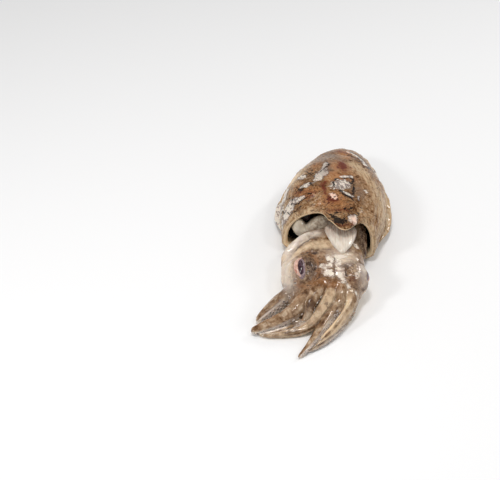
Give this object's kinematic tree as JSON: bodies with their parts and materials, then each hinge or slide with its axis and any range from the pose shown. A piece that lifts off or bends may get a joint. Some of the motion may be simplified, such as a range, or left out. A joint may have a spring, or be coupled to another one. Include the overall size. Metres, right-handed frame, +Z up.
{
  "type": "raw cuttlefish",
  "caption": "Whole raw cuttlefish lying on its belly: open mantle bag with side fins, domed head with bulging eyes, and short arms that curl to one side.",
  "frame": {"origin": "on the table, midway along and across the whole animal", "axes": "+Y from the arms to the tail, +X to the animal's right as it lies belly down with its tail away, +Z up"},
  "size_m": [0.121, 0.2628, 0.047],
  "materials": {
    "skin": "wet, mottled brown and cream raw skin"
  },
  "bodies": {
    "root": {"cuttlefish": "skin"}
  },
  "joints": []
}
